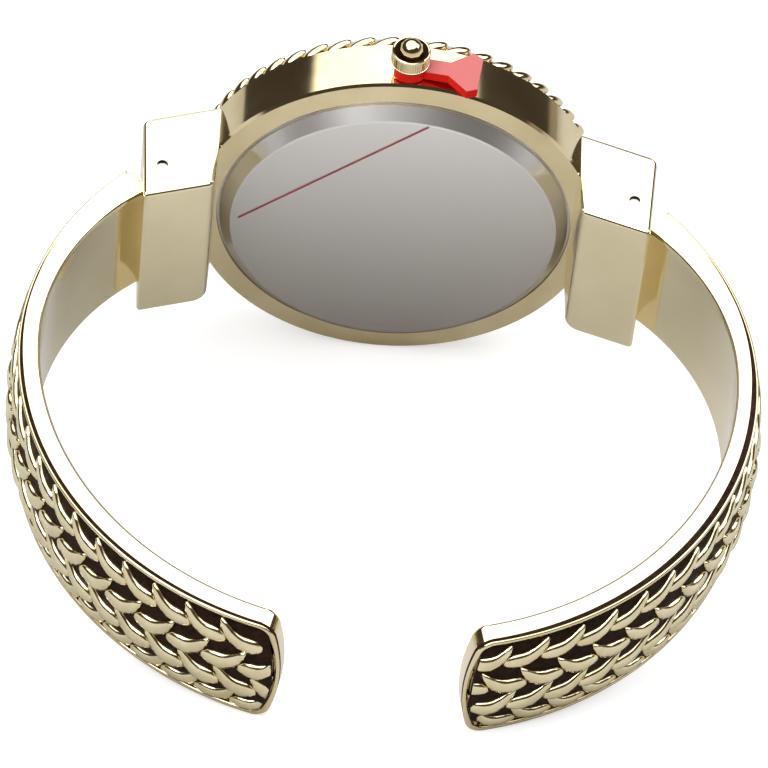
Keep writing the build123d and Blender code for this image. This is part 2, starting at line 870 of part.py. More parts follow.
def outer_place(along):
    """A plane on the outer face, some way from the tip: X runs to the root and Z outwards."""
    if along < lower_length:
        centre_x, radius = outer_lower_x, outer_lower_r
        angle = math.degrees(along / radius) - tip_angle
    else:
        centre_x, radius = outer_upper_x, outer_upper_r
        angle = math.degrees((along - lower_length) / radius)
    outwards = Vector(1, 0).rotate(Axis.Z, angle)
    return Plane(
        origin=Vector(centre_x, outer_y) + outwards * radius,
        x_dir=Vector(0, 1).rotate(Axis.Z, angle),
        z_dir=outwards,
    )


# The channel between the rails is cut from the outer face, a little fuller in its middle
with BuildPart() as right_channel:
    for centre_x, sweep in ((outer_upper_x, channel_angle), (outer_lower_x, -tip_angle)):
        with BuildSketch(Plane.XZ.offset(-outer_y)):
            with BuildLine():
                Polyline(
                    (outer_x + overrun, arm_w / 2 - rail_w),
                    (outer_x - channel_depth, arm_w / 2 - rail_w),
                    (outer_x - channel_depth + channel_swell, channel_flat_w / 2),
                    (outer_x - channel_depth + channel_swell, -channel_flat_w / 2),
                    (outer_x - channel_depth, rail_w - arm_w / 2),
                    (outer_x + overrun, rail_w - arm_w / 2),
                    close=True,
                )
            make_face()
        revolve(
            axis=Axis((centre_x, outer_y, 0), (0, 0, math.copysign(1, sweep))),
            revolution_arc=abs(sweep),
        )
    extrude(tip_outline(rail_w), amount=2 * outer_x, both=True, mode=Mode.INTERSECT)

# One leaf: a pointed wedge that dives towards its tail
with BuildPart() as leaf:
    with BuildSketch(Plane.XY.offset(-leaf_root_h)):
        with BuildLine():
            Polyline(
                (-leaf_l / 2, 0),
                (leaf_l * leaf_belly_share - leaf_l / 2, leaf_w / 2),
                (leaf_l * leaf_waist_share - leaf_l / 2, leaf_w * waist_w_share / 2),
                (leaf_l / 2, 0),
                (leaf_l * leaf_waist_share - leaf_l / 2, -leaf_w * waist_w_share / 2),
                (leaf_l * leaf_belly_share - leaf_l / 2, -leaf_w / 2),
                close=True,
            )
        make_face()
    extrude(amount=leaf_root_h + leaf_h - leaf_l / 2 * math.sin(math.radians(leaf_dive)))

# Four columns of leaves fill the channel from rail to rail
channel_w = arm_w - 2 * rail_w
channel_length = lower_length + outer_upper_r * math.radians(channel_angle)
with BuildPart() as right_leaves:
    for column, shift_share in enumerate(leaf_shift_shares):
        across = channel_w * (3 - 2 * column) / 8
        fullness = min(1, (channel_w / 2 - abs(across)) / (channel_w / 2 - channel_flat_w / 2))
        floor_h = channel_swell * fullness - channel_depth
        lean = leaf_lean if column % 2 == 0 else 180 - leaf_lean
        along = leaf_start + shift_share * leaf_pitch
        while along < channel_length - leaf_l / 2:
            with Locations(
                outer_place(along).location
                * Location((0, across, floor_h), (0, 0, lean))
                * Location((0, 0, 0), (0, leaf_dive, 0))
            ):
                add(leaf.part)
            along += leaf_pitch
    extrude(tip_outline(rail_w), amount=2 * outer_x, both=True, mode=Mode.INTERSECT)

with BuildPart() as right_arm:
    with BuildSketch(Plane.XY):
        with BuildLine():
            CenterArc((inner_upper_x, inner_y), inner_upper_r, 0, root_angle)
            CenterArc((inner_lower_x, inner_y), inner_lower_r, 0, -tip_angle)
            Line(inner_tip, outer_end)
            CenterArc((outer_lower_x, outer_y), outer_lower_r, 0, -outer_end_angle)
            CenterArc((outer_upper_x, outer_y), outer_upper_r, 0, root_angle)
            Line(outer_root, inner_root)
        make_face()
    extrude(amount=arm_w / 2, both=True)
    extrude(tip_outline(0), amount=2 * outer_x, both=True, mode=Mode.INTERSECT)
    add(right_channel.part, mode=Mode.SUBTRACT)
    add(right_leaves.part)
    # The root clears the block's end face, shut and fully open
    for turn in (0, -open_angle):
        with BuildSketch(Plane.XY):
            with Locations(hinge * Location((0, 0, 0), (0, 0, turn))):
                with Locations((pin_to_face + root_gap, 0)):
                    Rectangle(root_cut_w, root_cut_w, align=(Align.MAX, Align.CENTER))
        extrude(amount=arm_w, both=True, mode=Mode.SUBTRACT)
    with BuildSketch(Plane.XY):
        with Locations(hinge):
            Circle(knuckle_r)
            with Locations((0, -knuckle_r)):
                Rectangle(tongue_l, tongue_h, align=(Align.MIN, Align.MIN))
    extrude(amount=knuckle_w / 2, both=True)
    with BuildSketch(Plane.XY):
        with Locations(hinge):
            Circle(knuckle_r + pocket_gap)
    extrude(amount=spring_w / 2, both=True, mode=Mode.SUBTRACT)
    with BuildSketch(Plane.XY):
        with Locations(hinge):
            Circle(pin_r + running_gap)
    extrude(amount=arm_w, both=True, mode=Mode.SUBTRACT)
right_arm.part.label = "right_arm"

# The left side mirrors the right
with BuildPart() as left_block:
    mirror(right_block.part, about=Plane.YZ)
left_block.part.label = "left_hinge_block"
with BuildPart() as left_pin:
    mirror(right_pin.part, about=Plane.YZ)
left_pin.part.label = "left_hinge_pin"
with BuildPart() as left_spring:
    mirror(right_spring.part, about=Plane.YZ)
left_spring.part.label = "left_hinge_spring"
with BuildPart() as left_arm:
    mirror(right_arm.part, about=Plane.YZ)
left_arm.part.label = "left_arm"

pieces = [
    mid_case, bezel, crystal, crystal_gasket, case_back, back_seal, back_film,
    dial_ring, dial, dial_markers, hour_hand, minute_hand, second_hand,
    movement_ring, main_plate, train_bridge, bridge_screws, battery, circuit_board,
    stator, coil, rotor, middle_wheel, seconds_wheel, third_wheel, centre_wheel,
    cannon_pinion, minute_wheel, hour_wheel, setting_wheel,
    crown, crown_tube, setting_stem, sliding_pinion, setting_lever, crown_stopper,
    right_block, right_pin, right_spring, right_arm,
    left_block, left_pin, left_spring, left_arm,
]

# Lay the watch on its side: the case rim and the lower corners of both arm ends touch down
foot_depth = outer_lower_r * math.sin(math.radians(end_angle)) - outer_y
tilt = math.degrees(math.atan2(case_r - arm_w / 2, foot_depth))
tilted = Compound(children=[piece.part.rotate(Axis.X, tilt) for piece in pieces])
box = tilted.bounding_box()
lie_y = -(box.min.Y + box.max.Y) / 2
lie_z = -box.min.Z
print(f"tilt {tilt:.5f}  laid at y {lie_y:.5f}  z {lie_z:.5f}  size {box.size}")

os.makedirs("parts", exist_ok=True)
for piece in pieces:
    laid = piece.part.rotate(Axis.X, tilt).translate((0, lie_y, lie_z))
    laid.label = piece.part.label
    export_step(laid, f"parts/{laid.label}.step")
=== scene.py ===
import json
import math

import bmesh
import bpy
from mathutils import Matrix, Vector


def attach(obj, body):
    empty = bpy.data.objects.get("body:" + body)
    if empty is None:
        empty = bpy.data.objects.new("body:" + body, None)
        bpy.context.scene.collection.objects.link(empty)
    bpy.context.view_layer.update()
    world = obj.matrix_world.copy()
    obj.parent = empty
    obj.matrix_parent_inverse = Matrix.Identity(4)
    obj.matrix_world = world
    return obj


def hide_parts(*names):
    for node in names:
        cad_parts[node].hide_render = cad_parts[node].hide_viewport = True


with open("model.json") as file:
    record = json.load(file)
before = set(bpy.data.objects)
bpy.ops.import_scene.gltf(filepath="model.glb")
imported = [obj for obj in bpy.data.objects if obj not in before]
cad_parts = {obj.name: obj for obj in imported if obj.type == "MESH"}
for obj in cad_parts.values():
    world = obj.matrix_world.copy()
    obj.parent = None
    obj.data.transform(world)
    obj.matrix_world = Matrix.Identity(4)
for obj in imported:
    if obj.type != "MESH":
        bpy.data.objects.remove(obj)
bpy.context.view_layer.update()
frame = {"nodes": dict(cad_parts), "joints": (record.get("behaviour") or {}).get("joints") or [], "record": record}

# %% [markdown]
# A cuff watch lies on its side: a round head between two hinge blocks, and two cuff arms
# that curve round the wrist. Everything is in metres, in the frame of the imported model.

MM = 0.001

# %% [markdown]
# The watch leans back as it lies, so its own axes are turned a little from the ground's. One
# matrix turns and shifts the watch's own frame into the ground's, so each later piece can be
# drawn upright, in millimetres: X to the right arm, Y from the wrist to the dial, Z to the crown.
# Both the turn and the shift are read from the joint that the right arm swings on, because its
# axis and its place are known in both frames.

# %% Watch frame
pin_reach = 23.2
pin_depth = -2.85
arm_joint = next(joint for joint in frame["joints"] if joint["name"] == "right_arm_open")
crown_dir = Vector(arm_joint["axis"]).normalized()
dial_dir = crown_dir.cross(Vector((1, 0, 0))).normalized()
turned = Matrix(((1, 0, 0), dial_dir, crown_dir)).transposed()
shift = Vector(arm_joint["pos_m"]) - turned @ (Vector((pin_reach, pin_depth, 0)) * MM)
watch = Matrix.Translation(shift) @ turned.to_4x4() @ Matrix.Scale(MM, 4)
print("lean", round(math.degrees(math.atan2(dial_dir.z, dial_dir.y)), 3), "degrees; shift", shift)

# %% [markdown]
# A finish in Blender is a small graph of nodes round one Principled shader. Nothing that is
# cast, plated or moulded is quite even, so each finish here drifts a little with a noise. The
# noise reads Object coordinates, which stay with a piece when it moves. Helpers make the nodes
# and their links, because every finish needs the same few.

# %% A shader and a noise
def material(name, colour, metallic, roughness):
    """A new material with one Principled shader; returns (material, shader, nodes, links)."""
    made = bpy.data.materials.new(name)
    made.use_nodes = True
    nodes = made.node_tree.nodes
    shader = nodes["Principled BSDF"]
    shader.inputs["Base Color"].default_value = (*colour, 1)
    shader.inputs["Metallic"].default_value = metallic
    shader.inputs["Roughness"].default_value = roughness
    return made, shader, nodes, made.node_tree.links


def noise(nodes, links, scale, detail=3.0, stretch=(1, 1, 1)):
    """A noise texture on Object coordinates, stretched along the axes; returns its value."""
    place = nodes.new("ShaderNodeTexCoord")
    mapping = nodes.new("ShaderNodeMapping")
    mapping.inputs["Scale"].default_value = stretch
    texture = nodes.new("ShaderNodeTexNoise")
    texture.inputs["Scale"].default_value = scale
    texture.inputs["Detail"].default_value = detail
    links.new(place.outputs["Object"], mapping.inputs["Vector"])
    links.new(mapping.outputs["Vector"], texture.inputs["Vector"])
    return texture.outputs["Fac"]


# %% [markdown]
# A noise is a number from 0 to 1, and most of it lies near the middle. A map range makes it a
# gloss, a colour ramp makes it a tone, and a bump makes it tiny hills that bend what the
# surface mirrors, as real plating and moulded plastic do.

# %% From a number to gloss, tone and relief
def spread(nodes, links, source, low, high, socket):
    """Send a 0 to 1 value to a socket, spread between two numbers."""
    reach = nodes.new("ShaderNodeMapRange")
    reach.inputs["To Min"].default_value = low
    reach.inputs["To Max"].default_value = high
    links.new(source, reach.inputs["Value"])
    links.new(reach.outputs["Result"], socket)


def two_tone(nodes, links, source, dark, light, socket, edges=(0.3, 0.7)):
    """Send a colour between two tones to a socket."""
    ramp = nodes.new("ShaderNodeValToRGB")
    ramp.color_ramp.elements[0].position = edges[0]
    ramp.color_ramp.elements[1].position = edges[1]
    ramp.color_ramp.elements[0].color = (*dark, 1)
    ramp.color_ramp.elements[1].color = (*light, 1)
    links.new(source, ramp.inputs["Fac"])
    links.new(ramp.outputs["Color"], socket)


def bump(nodes, links, source, distance, shader):
    """Bend the shader's normal by a height, whose full step is distance in metres."""
    node = nodes.new("ShaderNodeBump")
    node.inputs["Distance"].default_value = distance
    links.new(source, node.inputs["Height"])
    links.new(node.outputs["Normal"], shader.inputs["Normal"])


# %% [markdown]
# Polished metal is read by its gloss, so a metal is given both ends of its roughness. A plastic
# or rubber is duller and its gloss hardly shows, so one roughness is enough, and the noise takes
# it a little down and up. In both, a single noise drives tone, gloss and relief, which then
# agree with each other, as they do where a surface is worn.

# %% Metals and plastics
plastic_rough_shares = (0.85, 1.2)


def metal(name, dark, light, rough, grain, grain_bump, stretch=(1, 1, 1)):
    """A metal whose tone, gloss and surface drift a little with one noise."""
    made, shader, nodes, links = material(name, light, 1.0, rough[0])
    drift = noise(nodes, links, grain, stretch=stretch)
    two_tone(nodes, links, drift, dark, light, shader.inputs["Base Color"])
    spread(nodes, links, drift, *rough, shader.inputs["Roughness"])
    bump(nodes, links, drift, grain_bump, shader)
    return made


def plastic(name, dark, light, rough, grain, grain_bump):
    """A plastic, paint or rubber with a slight unevenness in tone and surface."""
    made, shader, nodes, links = material(name, light, 0.0, rough)
    drift = noise(nodes, links, grain)
    low, high = (rough * share for share in plastic_rough_shares)
    two_tone(nodes, links, drift, dark, light, shader.inputs["Base Color"])
    spread(nodes, links, drift, low, high, shader.inputs["Roughness"])
    bump(nodes, links, drift, grain_bump, shader)
    return made


# %% [markdown]
# The whole watch is plated in one pale, champagne gold, polished like a mirror. Under the light it
# looks deeper on the case, paler inside the cuff and on the flat blocks, and brighter and a little
# worn on the leaves. One gold for all of them would look flat, so four copies are mixed, which differ
# in gloss and in tone; the tones are painted light, lit and shaded versions of the same plating.

# %% Golds: lit and shaded copies of one plating
painted_pale_tones = {"dark": (0.80, 0.71, 0.48), "light": (0.89, 0.79, 0.55)}
gold = metal("plated pale gold", dark=(0.74, 0.61, 0.36), light=(0.86, 0.74, 0.48),
             rough=(0.06, 0.13), grain=160, grain_bump=0.010 * MM)
# The leaves' brighter tone is painted light; their higher roughness is wear.
leaf_gold_worn_and_brightened = metal("worn gold of the leaves, painted brighter", dark=(0.80, 0.69, 0.42), light=(0.95, 0.85, 0.57),
                  rough=(0.10, 0.20), grain=500, grain_bump=0.020 * MM)
# The paler tones inside the cuff and on the blocks are painted light.
inner_gold_painted_paler = metal("mirror gold inside the cuff", **painted_pale_tones,
                   rough=(0.05, 0.12), grain=110, grain_bump=0.020 * MM)
block_gold_painted_paler = metal("paler gold of the blocks", **painted_pale_tones,
                   rough=(0.07, 0.12), grain=120, grain_bump=0.010 * MM)
print("4 golds")

# %% [markdown]
# Inside the case, the movement is brass and steel with a copper coil. The copper's noise is
# eight times finer across the coil than along it, which gives the coil a lengthwise grain.

# %% Steel, brass and copper
steel = metal("bright steel", dark=(0.50, 0.50, 0.51), light=(0.64, 0.64, 0.65),
              rough=(0.18, 0.3), grain=900, grain_bump=0.002 * MM)
brass = metal("satin brass", dark=(0.66, 0.52, 0.26), light=(0.78, 0.64, 0.36),
              rough=(0.25, 0.4), grain=900, grain_bump=0.002 * MM)
cell_steel = metal("battery can", dark=(0.58, 0.58, 0.58), light=(0.72, 0.72, 0.72),
                   rough=(0.15, 0.25), grain=700, grain_bump=0.002 * MM)
copper = metal("coil wire", dark=(0.50, 0.22, 0.10), light=(0.66, 0.33, 0.16),
               rough=(0.3, 0.45), grain=4000, grain_bump=0.006 * MM, stretch=(1, 8, 8))
print("4 metals of the movement")

# %% [markdown]
# The dial is painted, and the seals, the holder and the circuit board are plastic and rubber.
# Each is one call, with a grain of a millimetre or two, because a coarser one would hardly
# vary over pieces as small as these.

# %% Dial paint, rubber and plastics
dial_paint = plastic("champagne dial", dark=(0.72, 0.66, 0.54), light=(0.80, 0.74, 0.62),
                     rough=0.3, grain=900, grain_bump=0.002 * MM)
black_rubber = plastic("seal rubber", dark=(0.02, 0.02, 0.02), light=(0.05, 0.05, 0.05),
                       rough=0.6, grain=900, grain_bump=0.004 * MM)
nylon = plastic("crystal gasket nylon", dark=(0.74, 0.74, 0.72), light=(0.84, 0.84, 0.82),
                rough=0.45, grain=900, grain_bump=0.003 * MM)
holder_plastic = plastic("holder plastic", dark=(0.60, 0.60, 0.57), light=(0.72, 0.72, 0.69),
                         rough=0.5, grain=500, grain_bump=0.008 * MM)
board_green = plastic("circuit board", dark=(0.03, 0.14, 0.06), light=(0.06, 0.24, 0.11),
                      rough=0.4, grain=1500, grain_bump=0.004 * MM)
print("5 paints and plastics")

# %% [markdown]
# The stopper is a thin slip of red plastic. Its upper face is washed out by the light, and its
# sides keep a deep red. A lamp strong enough for that would burn out everything else, so the
# colour itself follows how far a face looks up. A low specular level keeps the sides from
# turning pink under the white ceiling.

# %% Red plastic of the stopper
stopper_side = (0.80, 0.008, 0.003)
stopper_top = (0.51, 0.145, 0.140)
stopper_shine = 0.08
red_plastic = plastic("red plastic", dark=(0.50, 0.010, 0.006), light=(0.62, 0.018, 0.012),
                      rough=0.34, grain=300, grain_bump=0.010 * MM)
shader = red_plastic.node_tree.nodes["Principled BSDF"]
nodes, links = red_plastic.node_tree.nodes, red_plastic.node_tree.links
facing = nodes.new("ShaderNodeNewGeometry")
facing_up = nodes.new("ShaderNodeSeparateXYZ")
links.new(facing.outputs["Normal"], facing_up.inputs["Vector"])
two_tone(nodes, links, facing_up.outputs["Z"], stopper_side, stopper_top,
         shader.inputs["Base Color"], edges=(0.5, 0.9))
shader.inputs["Specular IOR Level"].default_value = stopper_shine
print(red_plastic.name, "mixed")

# %% [markdown]
# The back is satin steel, dark at its foot and light at its top, because satin metal blurs the
# floor and the ceiling into one soft climb. That climb is painted as a gradient over the
# height, which keeps it smooth, and a weak, broad noise varies only the roughness. The plain
# values that the material starts with are for programs that can't read its nodes.

# %% Satin steel of the back
back_foot, back_top = 0.004, 0.039
back_foot_tone = (0.27, 0.235, 0.20)
back_top_tone = (0.95, 0.94, 0.93)
back_rough = (0.30, 0.36)
back_grain = 90
plain_steel, plain_rough = (0.60, 0.58, 0.56), 0.28
steel_back, shader, nodes, links = material("satin steel back", plain_steel, 1.0, plain_rough)
place = nodes.new("ShaderNodeTexCoord")
height = nodes.new("ShaderNodeSeparateXYZ")
links.new(place.outputs["Object"], height.inputs["Vector"])
climb = nodes.new("ShaderNodeMapRange")
climb.inputs["From Min"].default_value = back_foot
climb.inputs["From Max"].default_value = back_top
links.new(height.outputs["Z"], climb.inputs["Value"])
two_tone(nodes, links, climb.outputs["Result"], back_foot_tone, back_top_tone,
         shader.inputs["Base Color"], edges=(0.0, 1.0))
drift = noise(nodes, links, back_grain, detail=1.0)
spread(nodes, links, drift, *back_rough, shader.inputs["Roughness"])
print(steel_back.name, "mixed")

# %% [markdown]
# The crystal is mineral glass, so it lets all light through and bends it. The film on the back
# is a skin too thin to bend light, and it is made with Alpha instead: a faint veil where a
# face looks at the camera, and nothing where the back of a face does, so the film's two sides
# don't add up.

# %% Crystal glass and clear film
glass_tone, glass_plain_rough = (0.97, 0.98, 0.98), 0.02
glass_bend = 1.5
glass_rough = (0.01, 0.03)
film_tone, film_plain_rough = (0.96, 0.96, 0.95), 0.12
film_veil = 0.16
film_rough = (0.10, 0.16)
clear_grain = 60
crystal_glass, shader, nodes, links = material("mineral glass", glass_tone, 0.0,
                                               glass_plain_rough)
shader.inputs["Transmission Weight"].default_value = 1.0
shader.inputs["IOR"].default_value = glass_bend
spread(nodes, links, noise(nodes, links, clear_grain), *glass_rough, shader.inputs["Roughness"])

film_clear, shader, nodes, links = material("clear protective film", film_tone, 0.0,
                                            film_plain_rough)
seen_from = nodes.new("ShaderNodeNewGeometry")
spread(nodes, links, seen_from.outputs["Backfacing"], film_veil, 0.0, shader.inputs["Alpha"])
spread(nodes, links, noise(nodes, links, clear_grain), *film_rough, shader.inputs["Roughness"])
print(crystal_glass.name, "and", film_clear.name, "mixed")

# %% [markdown]
# The imported model gives each piece a material slot. One table pairs the slots with the
# finishes, so no piece is dressed by hand. The hinge blocks alone depart from it: they share
# their slot with the case, and get the paler copy of the gold, whose paler tone is painted light.

# %% Finishes for the imported pieces
finishes = {
    "gold_plate": gold, "arm_gold": inner_gold_painted_paler, "steel_back": steel_back, "steel_parts": steel,
    "crystal": crystal_glass, "film": film_clear, "stopper_red": red_plastic,
    "seal_black": black_rubber, "gasket_clear": nylon, "dial_face": dial_paint,
    "markers_gold": gold, "holder_plastic": holder_plastic, "plate_brass": brass,
    "wheel_brass": brass, "cell_steel": cell_steel, "board_green": board_green,
    "coil_copper": copper,
}
slot_of = {part["node"]: part["material_slot"] for part in frame["record"]["subparts"]}
for name, node in frame["nodes"].items():
    node.data.materials.clear()
    # The hinge blocks take the gold painted paler, as painted light.
    node.data.materials.append(block_gold_painted_paler if "hinge_block" in name else finishes[slot_of[name]])
print(len(frame["nodes"]), "packed pieces dressed in", len(finishes), "finishes")

# %% [markdown]
# The photograph was taken from above with a long lens. The camera's place comes from fitting
# the case rim, the blocks and the arm ends: three angles turn the watch's axes, with Y and Z
# exchanged, to the camera's, and one vector says where the watch's middle lies as the camera
# sees it, to the right, up and ahead, in millimetres.

# %% Camera
photo_size = 768
focal_pixels = 6000.0
sensor_w = 36.0
nearest = 0.01
tip, yaw, roll = -0.89014, -0.03358, -0.07495
middle_seen = Vector((0.914, 16.341, 596.277))
look = Matrix.Rotation(roll, 3, "Z") @ Matrix.Rotation(yaw, 3, "Y") @ Matrix.Rotation(tip, 3, "X")
exchange = Matrix(((1, 0, 0), (0, 0, 1), (0, 1, 0)))
right, up, forward = (exchange @ row for row in look)
eye = exchange @ (-(look.transposed() @ middle_seen))

lens_data = bpy.data.cameras.new("photo camera")
lens_data.sensor_width = sensor_w
lens_data.lens = focal_pixels / photo_size * sensor_w
lens_data.clip_start = nearest
camera = bpy.data.objects.new("photo camera", lens_data)
bpy.context.scene.collection.objects.link(camera)
axes = Matrix((turned @ right, turned @ up, -(turned @ forward))).transposed()
camera.matrix_world = Matrix.Translation(watch @ eye) @ axes.to_4x4()
bpy.context.scene.camera = camera
print("camera at", camera.matrix_world.translation)

# %% [markdown]
# The watch lies on white paper. Lamps alone would leave the paper grey, and more light would
# burn the gold out, so the paper glows, but only for rays from the camera. The gold mirrors
# plain paper, and a soft shadow still shows under the head. The floor is stage, not watch.

# %% Floor
floor_reach = 3.0
floor_glow = 0.62
paper_rough = 0.8
paper_grain = 40
paper_dark, paper_plain, paper_light = ((tone, tone, tone) for tone in (0.45, 0.46, 0.47))
work = bmesh.new()
bmesh.ops.create_grid(work, x_segments=1, y_segments=1, size=floor_reach)
floor_mesh = bpy.data.meshes.new("floor")
work.to_mesh(floor_mesh)
work.free()
floor = bpy.data.objects.new("floor", floor_mesh)
bpy.context.scene.collection.objects.link(floor)
floor_paint, shader, nodes, links = material("white paper", paper_plain, 0.0, paper_rough)
two_tone(nodes, links, noise(nodes, links, paper_grain), paper_dark, paper_light,
         shader.inputs["Base Color"])
seen = nodes.new("ShaderNodeLightPath")
shader.inputs["Emission Color"].default_value = (1, 1, 1, 1)
spread(nodes, links, seen.outputs["Is Camera Ray"], 0.0, floor_glow,
       shader.inputs["Emission Strength"])
floor_mesh.materials.append(floor_paint)
print("floor", 2 * floor_reach, "m across")

# %% [markdown]
# Polished gold shows the room round it more than its own colour. This room is a white ceiling
# over dark walls: a ramp turns the height of each direction into a colour. The ceiling's edge
# is tilted a little, so the two sides of the watch don't mirror the same thing.

# %% Room
sky_tilt = (-0.09, 0.0, 1.0)
sky_strength = 2.1
white = (1.0, 1.0, 1.0)
sky_steps = (  # height of the direction, colour
    (0.00, (0.16, 0.14, 0.12)),
    (0.04, (0.032, 0.027, 0.022)),
    (0.62, (0.026, 0.021, 0.016)),
    (0.67, white),
    (1.00, white),
)
world = bpy.data.worlds.new("studio")
bpy.context.scene.world = world
world.use_nodes = True
nodes, links = world.node_tree.nodes, world.node_tree.links
place = nodes.new("ShaderNodeTexCoord")
height = nodes.new("ShaderNodeVectorMath")
height.operation = "DOT_PRODUCT"
height.inputs[1].default_value = sky_tilt
ramp = nodes.new("ShaderNodeValToRGB")
links.new(place.outputs["Generated"], height.inputs[0])
links.new(height.outputs["Value"], ramp.inputs["Fac"])
for position, colour in sky_steps[1:-1]:
    ramp.color_ramp.elements.new(position)
for element, (position, colour) in zip(ramp.color_ramp.elements, sky_steps):
    element.position = position
    element.color = (*colour, 1)
sky = nodes["Background"]
links.new(ramp.outputs["Color"], sky.inputs["Color"])
sky.inputs["Strength"].default_value = sky_strength
print("room with", len(sky_steps), "steps of height")

# %% [markdown]
# The walls are there for the gold, and the photograph's background is plain white. A Light Path
# node tells the camera's own rays from mirrored ones, and a Mix Shader shows them a white
# backdrop in place of the room.

# %% White backdrop
backdrop = nodes.new("ShaderNodeBackground")
backdrop.inputs["Color"].default_value = (*white, 1)
seen = nodes.new("ShaderNodeLightPath")
either = nodes.new("ShaderNodeMixShader")
links.new(seen.outputs["Is Camera Ray"], either.inputs["Fac"])
links.new(sky.outputs["Background"], either.inputs[1])
links.new(backdrop.outputs["Background"], either.inputs[2])
links.new(either.outputs["Shader"], nodes["World Output"].inputs["Surface"])
print("backdrop", backdrop.inputs["Color"].default_value[:])

# %% [markdown]
# Two soft lamps, a key at the front left and a weaker fill at the right, are both aimed at the
# middle of the floor. The Standard view keeps white paper white, where a filmic one would grey it.

# %% Lamps and view
lamps = (  # name, place, size, power
    ("key", (-0.35, -0.35, 0.55), 0.4, 2.0),
    ("fill", (0.45, 0.10, 0.45), 0.4, 1.2),
)
for name, place, size, power in lamps:
    lamp_data = bpy.data.lights.new(name, "AREA")
    lamp_data.size = size
    lamp_data.energy = power
    lamp = bpy.data.objects.new(name, lamp_data)
    lamp.location = place
    lamp.rotation_euler = (-Vector(place)).to_track_quat("-Z", "Y").to_euler()
    bpy.context.scene.collection.objects.link(lamp)
bpy.context.scene.view_settings.view_transform = "Standard"
print(len(lamps), "lamps")

# %% [markdown]
# In plan, each cuff arm's outer face is two arcs that meet at the widest place of the cuff. A
# leaf or a rail is hard to draw in place on such a face and easy to draw flat. So all work on
# the arms is first laid out flat, with X along the arm from its tip, Y across it and Z outwards,
# and one function bends it onto the right arm. The left arm is its mirror image.

# %% The arm's outer face
arm_w = 14.0
arm_half = arm_w / 2
outer_x = 35.65
outer_y = -24.0
upper_r = 31.0
lower_r = 33.8
tip_turn = math.radians(77.07)
channel_turn = math.radians(45.0)
lower_length = lower_r * tip_turn
channel_length = lower_length + upper_r * channel_turn
cuffs = ((1, "right_cuff"), (-1, "left_cuff"))


def arc_at(along):
    """The outer arc at a place along the arm: its centre's X, its radius and the angle there."""
    if along < lower_length:
        return outer_x - lower_r, lower_r, along / lower_r - tip_turn
    return outer_x - upper_r, upper_r, (along - lower_length) / upper_r


def on_arm(flat):
    """The place on the right arm's outer face of a flat point (along, across, outwards)."""
    along, across, height = flat
    centre_x, radius, angle = arc_at(along)
    reach = radius + height
    return Vector((centre_x + reach * math.cos(angle), outer_y + reach * math.sin(angle), across))


print("channel", round(channel_length, 2), "mm long")

# %% [markdown]
# The arm ends in a shallow arc with rounded corners. A channel between two rails holds the
# leaves, and its floor is domed across the arm. Both lines are formulas, so the band, the
# rails, the paint and the leaves all follow the same end and the same floor.

# %% Rounded end and channel
rail_w = 0.55
end_bulge = 1.1
end_slant = 0.8
end_corner_r = 1.4
channel_depth = 0.4
channel_swell = 0.85
channel_half = arm_half - rail_w


def end_start(across, inset=0.0):
    """Where the arm's rounded end begins, along the arm, drawn in by a margin."""
    half = arm_half - inset
    corner = end_corner_r - inset
    start = inset - end_slant + end_bulge * (across / half) ** 2
    past = max(0.0, abs(across) - half + corner)
    return start + corner - math.sqrt(max(0.0, corner ** 2 - past ** 2))


def floor_height(across):
    """How high the channel's domed floor stands, from the rails' tops."""
    return channel_swell * (1 - min(1.0, abs(across) / channel_half) ** 2) - channel_depth


print("floor from", floor_height(channel_half), "to", round(floor_height(0.0), 2), "mm")

# %% [markdown]
# Every new piece is drawn as a bmesh in the watch's millimetres. The same last steps make each
# a real piece: it is turned and shifted into place in its mesh, doubled points are merged, and the
# faces are made to point outwards, because mirroring turns a mesh inside out. Then it gets its
# paint, and it rides the body that it moves with.

# %% From a bmesh to a piece
weld = 1e-4


def finish_piece(work, name, paint, body, side=1, smooth=True):
    """Turn a bmesh in watch millimetres into a piece: placed, painted and riding its body."""
    bmesh.ops.transform(work, matrix=watch @ Matrix.Diagonal((side, 1, 1, 1)), verts=work.verts)
    bmesh.ops.remove_doubles(work, verts=work.verts, dist=weld * MM)
    bmesh.ops.recalc_face_normals(work, faces=work.faces)
    mesh = bpy.data.meshes.new(name)
    work.to_mesh(mesh)
    work.free()
    for polygon in mesh.polygons:
        polygon.use_smooth = smooth
    mesh.materials.append(paint)
    piece = bpy.data.objects.new(name, mesh)
    bpy.context.scene.collection.objects.link(piece)
    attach(piece, body)
    return piece


# %% [markdown]
# Many pieces here start as a plain grid, which Blender makes from -1 to 1 both ways. Each of its
# points is then sent to its real place, so a helper says which row or column a point is on.
# Another finds the open edges, where a mesh still has to be closed.

# %% Rows and rims
def grid_step(place, steps):
    """Which step of a grid a vertex stands on, from its place between -1 and 1."""
    return round((place + 1) / 2 * steps)


def rim(work):
    """The open edges of a bmesh."""
    return [edge for edge in work.edges if edge.is_boundary]


# %% [markdown]
# Under the leaves, the arm is a curved band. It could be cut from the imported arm, but that has
# sharp edges, and a grid that follows the arm can be rounded. So a flat grid gets its rounded
# tip first, with its rows close together there, and is then extruded into a closed plate.

# %% Plate with a rounded tip
crease = math.radians(50)
fine_weld = 1e-5


